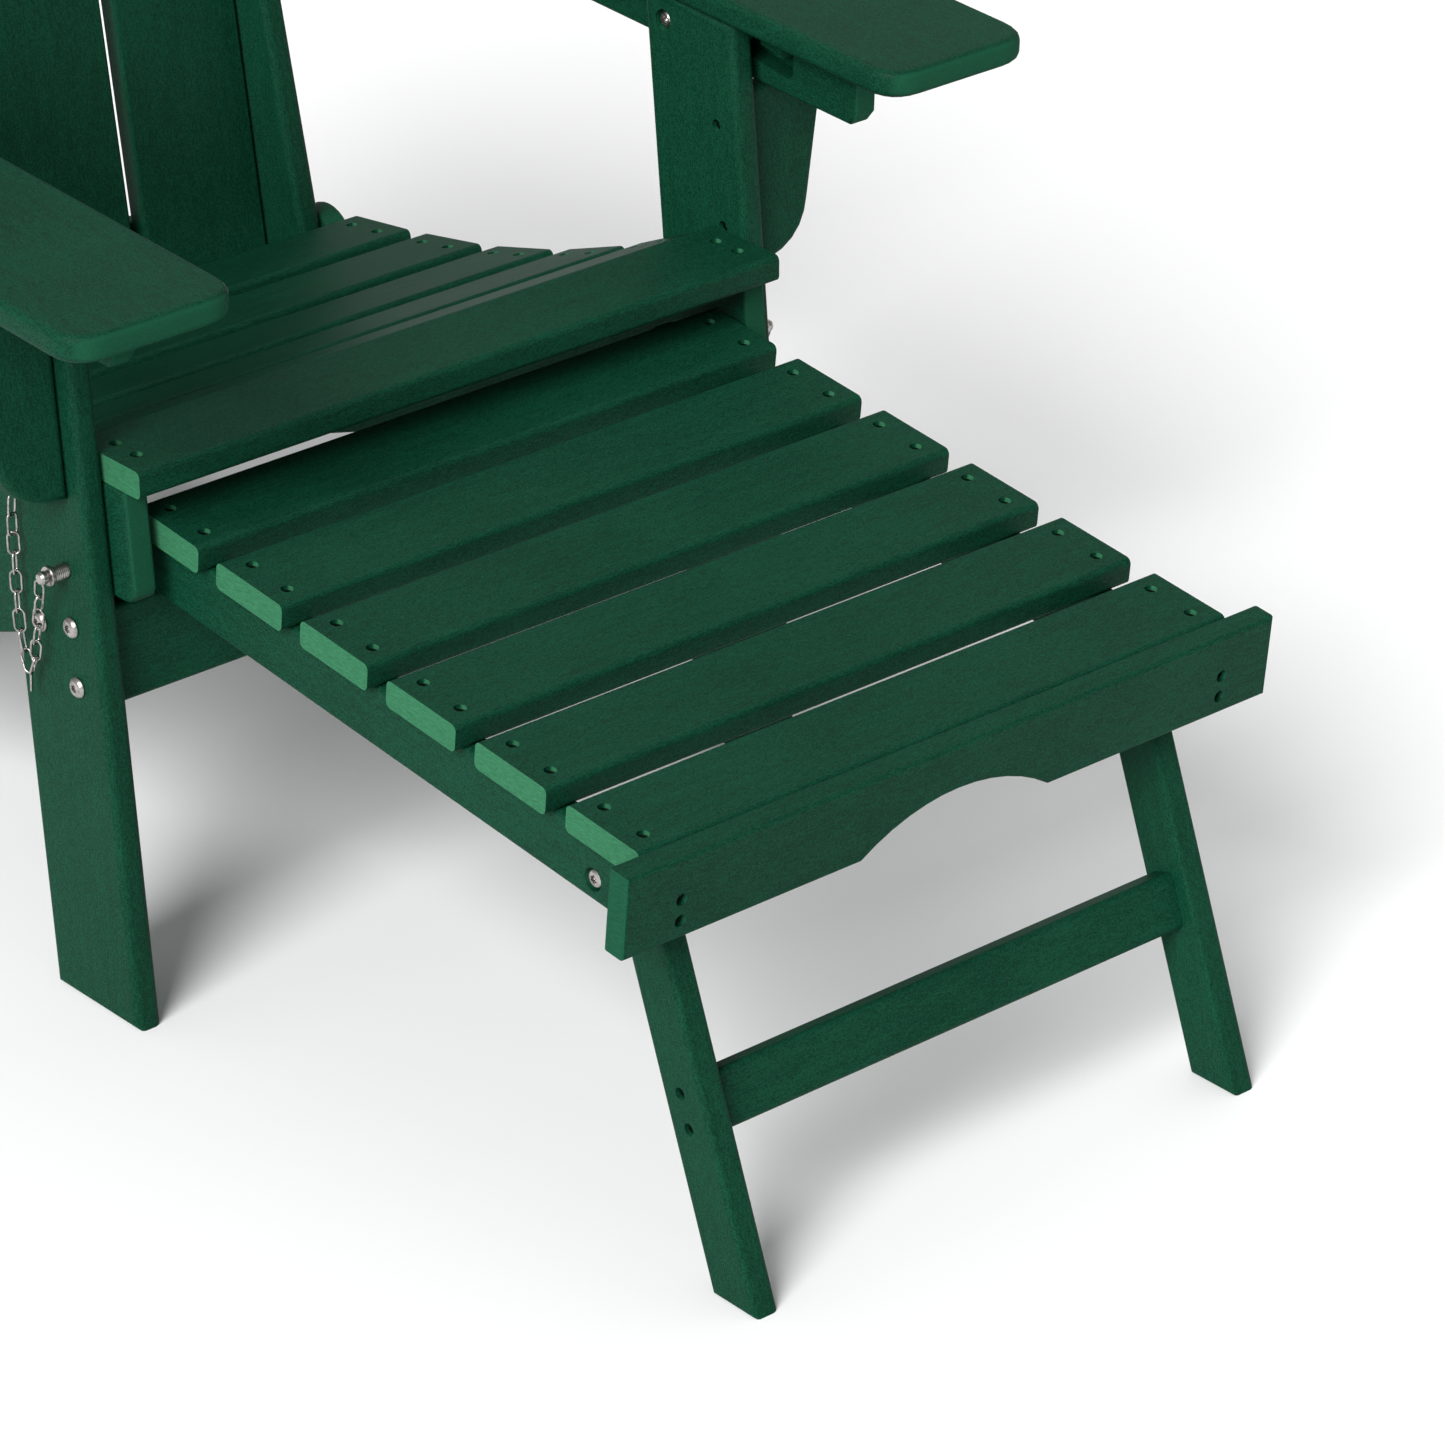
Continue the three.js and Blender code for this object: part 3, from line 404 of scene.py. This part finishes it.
def metal(name, colour, roughness, grime):
    """Bare or coated metal, with faint handling marks and darker smears of dirt at random."""
    material = bpy.data.materials.new(name)
    material.use_nodes = True
    tree = material.node_tree
    start = Socket(tree)
    place = start.node("ShaderNodeTexCoord", {}, {}, "Object")
    smear = place.noise(260.0, 4.0)
    scratch = start.node("ShaderNodeMapping", {}, {
        "Vector": place, "Scale": (1.0, 6.0, 1.0)}).noise(700.0, 2.0)
    shade = start.colour(smear.within(0.35, 0.75), colour, dimmed(colour, grime))
    relief = start.node("ShaderNodeBump", {}, {
        "Strength": 0.12, "Distance": 0.0002, "Height": scratch})
    shader = tree.nodes["Principled BSDF"]
    shader.inputs["Metallic"].default_value = 1
    tree.links.new(shade.socket, shader.inputs["Base Color"])
    tree.links.new((roughness + smear * 0.12 + scratch * 0.08).socket, shader.inputs["Roughness"])
    tree.links.new(relief.socket, shader.inputs["Normal"])
    return material


screw_coat = metal("screw_coat", (0.035, 0.060, 0.046, 1), 0.30, 0.4)
stainless = metal("stainless", (0.46, 0.44, 0.42, 1), 0.20, 0.55)


def turned(name, profile, sides, recess=None):
    """A piece turned about Z from (height, radius) steps, with an optional recess in its top.
    The recess is (radius, depth, points): its outline is a star of that many points."""
    shape = bmesh.new()

    def ring(height, radius, wave=0.0, points=0):
        row = []
        for angle in (math.tau * k / sides for k in range(sides)):
            reach = radius * (1 + wave * math.cos(points * angle))
            row.append(shape.verts.new((reach * math.cos(angle), reach * math.sin(angle), height)))
        return row

    rings = [ring(height, radius) for height, radius in profile]
    if recess:
        radius, depth, points = recess
        top = profile[-1][0]
        rings += [ring(top, radius, STAR_WAVE, points),
                  ring(top - depth, radius * STAR_TAPER, STAR_WAVE, points)]
    for low, high in zip(rings, rings[1:]):
        for k in range(sides):
            shape.faces.new((low[k], low[(k + 1) % sides], high[(k + 1) % sides], high[k]))
    shape.faces.new(rings[0][::-1])
    shape.faces.new(rings[-1])
    mesh = bpy.data.meshes.new(name)
    shape.to_mesh(mesh)
    shape.free()
    return mesh


screw_head = placed("screw_head", turned("screw_head", SCREW_PROFILE, 24, SCREW_STAR))


def sunk_screws(name, board, places, body, depth=COUNTERBORE_DEPTH):
    """Drills a board at each (place, outward direction), and sets a screw in every hole."""
    counterbored(board, places, depth)
    screws = grown(name, screw_tree, [Vector(place) - Vector(outward) * (depth - SCREW_LIFT)
                                      for place, outward in places],
                   {"aim": [outward for _, outward in places]},
                   {"Head": screw_head, "Finish": screw_coat})
    settled(screws, body)


def slat_screws(nodes, turns, spread):
    """Two screws near each end of every slat, on its upper face."""
    places = []
    for node, angle in zip(nodes, turns):
        centre, reach = middle_of(node), across_x(node) / 2 - SCREW_INSET
        turned_up = Matrix.Rotation(math.radians(angle), 3, "X")
        up, forward = turned_up @ Vector((0, 0, 1)), turned_up @ Vector((0, 1, 0))
        for side in (-1, 1):
            for step in (-spread, spread):
                places.append((centre + Vector((side * reach, 0, 0)) + forward * step
                               + up * (BOARD_THICKNESS / 2), up))
    return places


seat_nodes = [f"seat_slat_{number}" for number in range(1, 7)]
for name, part, width, spread in (
        ("seat_front", slice(0, 1), FRONT_SLAT_WIDTH, FRONT_SCREW_SPREAD),
        ("seat", slice(1, 6), SLAT_WIDTH, SEAT_SCREW_SPREAD)):
    nodes, slat_turns = seat_nodes[part], SEAT_TURNS[part]
    boards = sawn_lengths(name + ("_board" if len(nodes) == 1 else "_boards"), nodes, slat_turns,
                          across_x(nodes[0]), width, slat_plastic)
    sunk_screws(name + "_screws", boards, slat_screws(nodes, slat_turns, spread), "base")
    settled(boards, "base")

# ---------------------------------------------------------------------- frame bolts
# Button-head stainless bolts with a star recess hold each leg to the crossbar and the stringer.
# The back turns on one more bolt at each side.
HEAD_RADIUS, HEAD_HEIGHT, SHANK_RADIUS = 0.0073, 0.0042, 0.0038
NUT_RADIUS = HEAD_RADIUS * 0.75
LEG_NUTS = {1: 0, 2: 0, 3: 0.006}         # length of the nut on each leg bolt, if it has one
HINGE_NUT = 0.0047
BOLT_STAR = (0.0026, 0.0022, 6)
DOME_ANGLES = (12, 28, 44, 58)


def face_x(node, direction):
    """Where a node ends towards -X or +X."""
    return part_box(node)[1 if direction > 0 else 0][0]


def steel_along_x(name, mesh, foot, outward):
    """Lays a turned piece along X from its foot, with its top outward."""
    mesh.transform(Matrix.Translation(foot)
                   @ Matrix.Rotation(math.radians(90 * outward), 4, "Y"))
    mesh.materials.append(stainless)
    return placed(name, mesh)


def button_bolt(node, body, outward, nut=0.0):
    """A bolt along X in the place of its node, with its head on the outward side."""
    tail = HEAD_HEIGHT - across_x(node)
    profile = [(tail, SHANK_RADIUS)]
    if nut:
        profile = [(tail, NUT_RADIUS), (tail + nut, NUT_RADIUS), (tail + nut, SHANK_RADIUS)]
    profile += [(-0.0001, SHANK_RADIUS), (0, HEAD_RADIUS * 0.97)]
    profile += [(HEAD_HEIGHT * math.sin(angle), HEAD_RADIUS * math.cos(angle) ** 0.8)
                for angle in map(math.radians, DOME_ANGLES)]
    foot = middle_of(node)
    foot.x = face_x(node, outward) - outward * HEAD_HEIGHT
    piece = steel_along_x(node + "_bolt", turned(node + "_bolt", profile, 36, BOLT_STAR), foot,
                          outward)
    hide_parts(node)
    settled(piece, body, 30)


for side, outward in SIDES:
    for number, nut in LEG_NUTS.items():
        button_bolt(f"{side}_leg_bolt_{number}", "base", outward, nut)
    button_bolt(f"{side}_back_hinge_bolt", "base", outward, HINGE_NUT)

# ---------------------------------------------------------------------- arm brackets
# A shaped board on the outside of each front leg steadies the rail under the arm. Two screws
# hold it from the leg's inner face.
BRACKET_SCREW_SETBACK, BRACKET_SCREW_HEIGHTS = 0.022, (0.4018, 0.4743)
bracket_plastic = plastic_board("bracket_plastic", leg_up)
for side, outward in SIDES:
    routed_board(f"{side}_arm_bracket", "base", bracket_plastic)
    leg_inside = Vector((face_x(f"{side}_front_leg", -outward), 0, 0))
    sunk_screws(f"{side}_bracket_screws", front_legs[side],
                [(leg_toe + leg_back * BRACKET_SCREW_SETBACK + leg_up * height + leg_inside,
                  Vector((-outward, 0, 0))) for height in BRACKET_SCREW_HEIGHTS], "base")

# ---------------------------------------------------------------------- back
# Four wide slats with a shared arched top, on three rails between two stiles. The rails are
# screwed from behind, and the whole back turns on its two hinge bolts.
BACK_LEAN, STILE_LEAN = 9, 13
RAIL_SCREW_ASIDE, RAIL_SCREW_STAGGER = 0.030, 0.012
rearward, upward = back_along(BACK_LEAN), up_along(BACK_LEAN)
stile_plastic = plastic_board("stile_plastic", up_along(STILE_LEAN))
back_plastic = plastic_board("back_plastic", upward)
for side, _ in SIDES:
    routed_board(f"{side}_back_stile", "back", stile_plastic)
for number in range(1, 5):
    routed_board(f"back_slat_{number}", "back", back_plastic)
rail_nodes = [f"back_{level}_rail" for level in ("lower", "middle", "upper")]
back_rails = sawn_lengths("back_rail_boards", rail_nodes, [90 - BACK_LEAN] * 3,
                          across_x("back_middle_rail"), SLAT_WIDTH, slat_plastic)
rail_screw_places = []
for node in rail_nodes:
    for slat in range(1, 5):
        for aside in (-1, 1):
            place = (middle_of(node) + rearward * (BOARD_THICKNESS / 2)
                     - upward * (aside * RAIL_SCREW_STAGGER))
            place.x = middle_of(f"back_slat_{slat}").x + aside * RAIL_SCREW_ASIDE
            rail_screw_places.append((place, rearward))
sunk_screws("back_rail_screws", back_rails, rail_screw_places, "back")
settled(back_rails, "back")

# ---------------------------------------------------------------------- arms
# Broad boards with rounded corners, each screwed on a notched rail that slides over a steel
# stud in the leg's top, and pinned at the rear to the back's stile.
ARM_RISE = 0.042
STUD_RADIUS, COLLAR_RADIUS, COLLAR_WIDTH, STUD_BEYOND_LEG = 0.0040, 0.0073, 0.0074, 0.0202
STUD_HEAD = [(0.003, 0.0001), (0.003, 0.0026), (0.0, 0.0030), (0.0, 0.0042), (0.0018, 0.0064),
             (HEAD_HEIGHT, COLLAR_RADIUS), (HEAD_HEIGHT, STUD_RADIUS)]


def turned_steel(node, body, profile, outward):
    """A steel piece along X in the place of its node; its profile starts at the inner end."""
    foot = middle_of(node)
    foot.x = face_x(node, -outward)
    piece = steel_along_x(node + "_steel", turned(node + "_steel", profile, 36), foot, outward)
    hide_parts(node)
    settled(piece, body, 30)


arm_plastic = plastic_board("arm_plastic", (0, 1, ARM_RISE))
for side, outward in SIDES:
    for board in ("board", "rail", "pivot_block"):
        routed_board(f"{side}_arm_{board}", f"{side}_arm", arm_plastic)
    button_bolt(f"{side}_arm_pivot_bolt", f"{side}_arm", -outward, HINGE_NUT)
for side, outward in SIDES:
    # The head is turned to the sitter, and a collar nut keeps the rail off the leg.
    tip = across_x(f"{side}_arm_stud")
    leg_face = tip - STUD_BEYOND_LEG
    turned_steel(f"{side}_arm_stud", "base", STUD_HEAD + [
        (leg_face, STUD_RADIUS), (leg_face + 0.0003, COLLAR_RADIUS),
        (leg_face + COLLAR_WIDTH, COLLAR_RADIUS), (leg_face + COLLAR_WIDTH + 0.0001, STUD_RADIUS),
        (tip - 0.001, STUD_RADIUS), (tip, STUD_RADIUS - 0.001)], outward)

# ---------------------------------------------------------------------- footrest
# Six slats on two rails, closed at the front by an apron whose lower edge is cut to an arch.
# The rails' hinge bolts lie flush in wide counterbores.
FOOT_TILT, FOOT_SCREW_SPREAD, FOOT_NUT = 5.8, 0.0180, 0.005
APRON_SCREW_REACH, APRON_SCREW_HEIGHTS, APRON_SCREW_DEPTH = 0.224, (-0.0155, -0.0005), 0.004
foot_nodes = [f"foot_slat_{number}" for number in range(1, 7)]
foot_boards = sawn_lengths("foot_boards", foot_nodes, [FOOT_TILT] * 6, across_x("foot_slat_1"),
                           SLAT_WIDTH, slat_plastic)
sunk_screws("foot_screws", foot_boards,
            slat_screws(foot_nodes, [FOOT_TILT] * 6, FOOT_SCREW_SPREAD), "footrest")
settled(foot_boards, "footrest")
foot_rail_plastic = plastic_board("foot_rail_plastic", back_along(-FOOT_TILT))
for side, outward in SIDES:
    routed_board(f"{side}_foot_rail", "footrest", foot_rail_plastic)
    button_bolt(f"{side}_foot_hinge_bolt", "footrest", outward, FOOT_NUT)
apron = routed_board("foot_apron", "footrest", plastic_board("apron_plastic", (1, 0, 0)))
apron_face, apron_up = -back_along(-FOOT_TILT), up_along(-FOOT_TILT)
apron_centre = middle_of("foot_apron") + apron_face * (BOARD_THICKNESS / 2)
sunk_screws("apron_screws", apron,
            [(apron_centre + Vector((outward * APRON_SCREW_REACH, 0, 0)) + apron_up * height,
              apron_face) for _, outward in SIDES for height in APRON_SCREW_HEIGHTS],
            "footrest", APRON_SCREW_DEPTH)

# ---------------------------------------------------------------------- folding legs
# Two narrow routed legs turn on the rails' bolts, joined low down by a sawn crossbar that is
# screwed through both legs.
FOOT_LEG_LEAN, FOOT_BAR_WIDTH, FOOT_BAR_SCREW_SPREAD = 20.4, 0.038, 0.0115
foot_leg_up = up_along(FOOT_LEG_LEAN)
foot_leg_plastic = plastic_board("foot_leg_plastic", foot_leg_up)
foot_bar = sawn_lengths("foot_crossbar_board", ["foot_crossbar"], [90 - FOOT_LEG_LEAN],
                        across_x("foot_crossbar"), FOOT_BAR_WIDTH, slat_plastic)
settled(foot_bar, "foot_legs")
for side, outward in SIDES:
    leg = routed_board(f"{side}_foot_leg", "foot_legs", foot_leg_plastic)
    bar_end = middle_of("foot_crossbar")
    bar_end.x = face_x(f"{side}_foot_leg", outward)
    sunk_screws(f"{side}_foot_leg_screws", leg,
                [(bar_end + foot_leg_up * step, Vector((outward, 0, 0)))
                 for step in (-FOOT_BAR_SCREW_SPREAD, FOOT_BAR_SCREW_SPREAD)], "foot_legs")

# ---------------------------------------------------------------------- quick-release pins
# A steel pin with a ribbed shank, a flange and a knob goes through each leg and stringer into
# the footrest. It is drawn out here, so the footrest is free.
PIN_KNOB, PIN_FLANGE, PIN_SHANK = 0.0044, 0.0068, 0.0052
PIN_NECK, PIN_FLANGE_WIDTH = 0.007, 0.0035
RIBS, RIB_PITCH, RIB_VALLEY = 8, 0.0014, 0.95
for side, outward in SIDES:
    total = across_x(f"{side}_pin")
    neck = total - PIN_NECK
    flange_foot = neck - PIN_FLANGE_WIDTH
    ribs = [(flange_foot - (RIBS - step) * RIB_PITCH + shift, PIN_SHANK * size)
            for step in range(RIBS) for shift, size in ((0.0, 1.0), (RIB_PITCH / 2, RIB_VALLEY))]
    turned_steel(f"{side}_pin", f"{side}_pin_body", [
        (0.0, PIN_SHANK * 0.55), (0.0012, PIN_SHANK * 0.85), (0.003, PIN_SHANK)] + ribs + [
        (flange_foot, PIN_SHANK), (flange_foot + 0.0001, PIN_FLANGE * 0.94),
        (neck - 0.0028, PIN_FLANGE), (neck - 0.0007, PIN_FLANGE), (neck, PIN_FLANGE * 0.94),
        (neck + 0.0001, PIN_KNOB * 0.8), (neck + 0.0015, PIN_KNOB), (neck + 0.0045, PIN_KNOB),
        (neck + 0.0062, PIN_KNOB * 0.75), (total, PIN_KNOB * 0.35)], outward)

# ---------------------------------------------------------------------- chains
# A short straight-link chain ties each pin to a screw in the leg. It hangs in a slack loop, with
# one spare link below the loop's lowest point.
LINK_LENGTH, LINK_WIDTH, WIRE = 0.0158, 0.0074, 0.00085
LINK_TWISTS = (-52, 38)                   # neighbouring links stand square to each other
# Millimetres outward from the leg, back from its toe and up from the floor.
CHAIN_DOWN = [(7, 101, 366), (8.5, 101.5, 340), (8.5, 101, 310), (8.5, 100.5, 280),
              (8.5, 98, 258), (9, 92, 241), (10, 87, 236)]
CHAIN_UP = [(10, 87, 236), (10.5, 82, 243), (12, 76, 262), (14, 69, 285), (18.5, 60, 308)]
SPARE_LINK = Vector((0, 0.001, -0.018))
ANCHOR_BACK, ANCHOR_UP, ANCHOR_STAR = 0.1015, 0.3735, (0.0018, 0.0014, 6)
ANCHOR_PROFILE = [(-0.004, 0.002), (0.0005, 0.002), (0.0006, 0.0052), (0.0018, 0.0050),
                  (0.0030, 0.0036)]

chain_tree = bpy.data.node_groups.new("chain_links", "GeometryNodeTree")
given = tree_inputs(chain_tree, {"Geometry": "Geometry", "Length": "Float", "Width": "Float",
                                 "Wire": "Float", "Finish": "Material"})
maker = Socket(chain_tree)
link = rounded_outline(maker, given["Length"], given["Width"], given["Width"] * 0.49, 6)
wire = maker.node("GeometryNodeCurvePrimitiveCircle", {}, {
    "Resolution": 8, "Radius": given["Wire"]})
link = maker.node("GeometryNodeCurveToMesh", {}, {"Curve": link, "Profile Curve": wire})
copies_at_points(maker, given, link, maker.node("FunctionNodeEulerToRotation", {}, {
    "Euler": point_vector(maker, "turn")}))


def spaced(route, step):
    """Points at an even step along a route, each with the route's direction there."""
    places, travelled, due = [], 0.0, step / 2
    for start, end in zip(route, route[1:]):
        span = (end - start).length
        while due <= travelled + span:
            share = (due - travelled) / span
            places.append((start.lerp(end, share), (end - start).normalized()))
            due += step
        travelled += span
    return places


def smoothed(points, steps=12):
    """A Catmull-Rom curve through the points."""
    ends = [points[0] * 2 - points[1]] + points + [points[-1] * 2 - points[-2]]
    route = []
    for before, start, end, after in zip(ends, ends[1:], ends[2:], ends[3:]):
        for step in range(steps):
            t = step / steps
            route.append(0.5 * (2 * start + (end - before) * t
                                + (2 * before - 5 * start + 4 * end - after) * t * t
                                + (3 * start - before - 3 * end + after) * t ** 3))
    return route + [points[-1]]


for side, outward in SIDES:
    outer = face_x(f"{side}_front_leg", outward)
    falling, rising = (smoothed([
        Vector((outer + outward * out / 1000, leg_toe.y + back / 1000, up / 1000))
        for out, back, up in run]) for run in (CHAIN_DOWN, CHAIN_UP))
    bottom, pitch = rising[0], LINK_LENGTH - 2.6 * WIRE
    places, turns = [], []
    for run, quarter in ((falling[::-1], 0), (rising, 1), ([bottom, bottom + SPARE_LINK], 0)):
        for index, (place, heading) in enumerate(spaced(run, pitch)):
            twist = math.radians(LINK_TWISTS[(index + quarter) % 2])
            places.append(place)
            turns.append((heading.to_track_quat("X", "Z").to_matrix().to_4x4()
                          @ Matrix.Rotation(twist, 4, "X")).to_euler())
    chain = grown(f"{side}_chain_links", chain_tree, places, {"turn": turns},
                  {"Length": LINK_LENGTH, "Width": LINK_WIDTH, "Wire": WIRE, "Finish": stainless})
    chain.data.shade_smooth()
    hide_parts(f"{side}_chain")
    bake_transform(chain)
    anchor = steel_along_x(
        f"{side}_chain_screw", turned(f"{side}_chain_screw", ANCHOR_PROFILE, 28, ANCHOR_STAR),
        Vector((outer + outward * 0.001, leg_toe.y + ANCHOR_BACK, ANCHOR_UP)), outward)
    settled(anchor, "base", 30)

# ---------------------------------------------------------------------- screw template
# The screw head that every screw was copied from is taken out of the scene.
bpy.data.objects.remove(screw_head)
